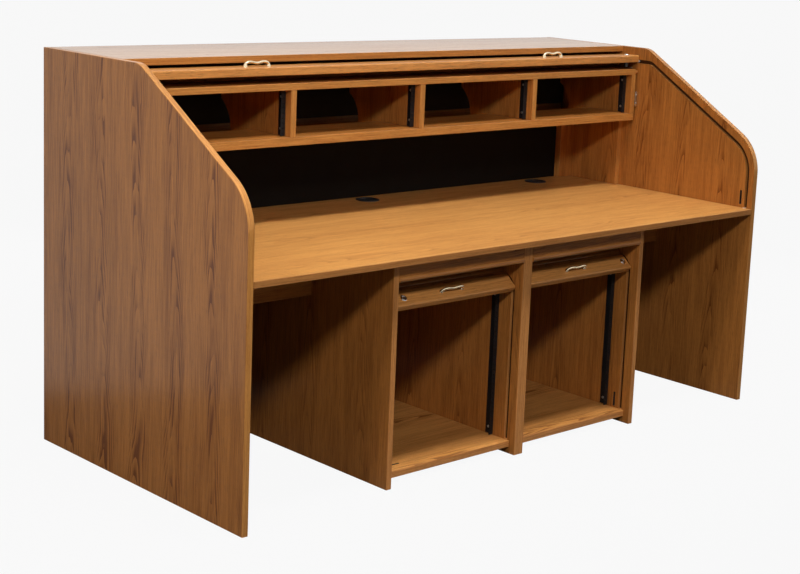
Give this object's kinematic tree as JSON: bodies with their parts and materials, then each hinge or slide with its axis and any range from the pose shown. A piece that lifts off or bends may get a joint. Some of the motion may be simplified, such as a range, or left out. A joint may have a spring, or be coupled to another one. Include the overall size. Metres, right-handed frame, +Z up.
{
  "type": "roll-top operator console",
  "caption": "Oak operator console with a roll-top curtain over the desk, overhead rack bays, and rack bays with curtain doors under the desk.",
  "frame": {"origin": "on the floor, under the middle of the console", "axes": "+X to the operator's right along the console, +Y from the operator to the back, +Z up"},
  "size_m": [2.116, 0.993, 1.17],
  "materials": {
    "oak": "satin oak veneer",
    "oak_slats": "satin oak",
    "oak_edge": "satin solid oak",
    "black_board": "matt black laminate",
    "black_steel": "black powder coat",
    "brass": "polished pale brass",
    "nickel": "nickel plate",
    "bright_steel": "bright steel",
    "black_plastic": "moulded black"
  },
  "bodies": {
    "carcass": {"end_panel_left": "oak", "end_panel_right": "oak", "top_panel": "oak", "rear_panel": "oak", "desktop": "oak", "overhead_top_board": "oak", "overhead_bottom_board": "oak", "overhead_end_left": "oak", "overhead_end_right": "oak", "overhead_divider_left": "oak", "overhead_divider_centre": "oak", "overhead_divider_right": "oak", "overhead_leg_left": "oak", "overhead_leg_right": "oak", "back_stile_left": "oak", "back_stile_right": "oak", "pedestal_side_left": "oak", "pedestal_centre": "oak", "pedestal_side_right": "oak", "shelf_left": "oak", "shelf_right": "oak", "header_left": "oak", "header_right": "oak", "knee_rail_left": "oak", "knee_rail_right": "oak", "main_curtain": "oak_slats", "door_left_curtain": "oak_slats", "door_right_curtain": "oak_slats", "back_liner": "black_board", "overhead_back": "black_board", "overhead_rail_1_left": "black_steel", "overhead_rail_1_right": "black_steel", "overhead_rail_2_left": "black_steel", "overhead_rail_2_right": "black_steel", "overhead_rail_3_left": "black_steel", "overhead_rail_3_right": "black_steel", "overhead_rail_4_left": "black_steel", "overhead_rail_4_right": "black_steel", "door_left_rail_left": "black_steel", "door_left_rail_right": "black_steel", "door_right_rail_left": "black_steel", "door_right_rail_right": "black_steel", "grommet_left": "black_plastic", "grommet_centre": "black_plastic", "grommet_right": "black_plastic"},
    "main_bar": {"main_lead_bar": "oak_edge", "main_pull_left": "brass", "main_pull_right": "brass", "main_lock_barrel": "nickel"},
    "main_cam": {"main_lock_cam": "nickel"},
    "door_left_guide": {"door_left_guide_rod": "bright_steel"},
    "door_left_bar": {"door_left_lead_bar": "oak_edge", "door_left_pull": "brass", "door_left_lock_barrel": "nickel"},
    "door_left_cam": {"door_left_lock_cam": "nickel"},
    "door_right_guide": {"door_right_guide_rod": "bright_steel"},
    "door_right_bar": {"door_right_lead_bar": "oak_edge", "door_right_pull": "brass", "door_right_lock_barrel": "nickel"},
    "door_right_cam": {"door_right_lock_cam": "nickel"}
  },
  "joints": [
    {"name": "main_curtain_roll", "type": "hinge", "parent": "carcass", "child": "main_bar", "pos_m": [0, 0.009, 0.6425], "axis": [1, 0, 0], "range_deg": [0, 90], "deforming": ["main_curtain"]},
    {"name": "main_lock_turn", "type": "hinge", "parent": "main_bar", "child": "main_cam", "pos_m": [1.007, 0.071, 1.121], "axis": [0, 0, 1], "range_deg": [0, 90]},
    {"name": "door_left_slide", "type": "slide", "parent": "carcass", "child": "door_left_guide", "axis": [0, 0, -1], "range_m": [0, 0.465], "deforming": ["door_left_curtain"]},
    {"name": "door_left_bar_tilt", "type": "hinge", "parent": "door_left_guide", "child": "door_left_bar", "pos_m": [-0.265, -0.4145, 0.517], "axis": [1, 0, 0], "range_deg": [0, 49.5]},
    {"name": "door_left_lock_turn", "type": "hinge", "parent": "door_left_bar", "child": "door_left_cam", "pos_m": [-0.4505, -0.40081, 0.52869], "axis": [0, -0.6494, 0.7604], "range_deg": [0, 90]},
    {"name": "door_right_slide", "type": "slide", "parent": "carcass", "child": "door_right_guide", "axis": [0, 0, -1], "range_m": [0, 0.465], "deforming": ["door_right_curtain"]},
    {"name": "door_right_bar_tilt", "type": "hinge", "parent": "door_right_guide", "child": "door_right_bar", "pos_m": [0.265, -0.4145, 0.517], "axis": [1, 0, 0], "range_deg": [0, 49.5]},
    {"name": "door_right_lock_turn", "type": "hinge", "parent": "door_right_bar", "child": "door_right_cam", "pos_m": [0.4895, -0.40081, 0.52869], "axis": [0, -0.6494, 0.7604], "range_deg": [0, 90]}
  ],
  "couplings": [
    {"joint": "door_left_bar_tilt", "follows": "door_left_slide", "rad_per_m": 1.8579},
    {"joint": "door_right_bar_tilt", "follows": "door_right_slide", "rad_per_m": 1.8579}
  ]
}
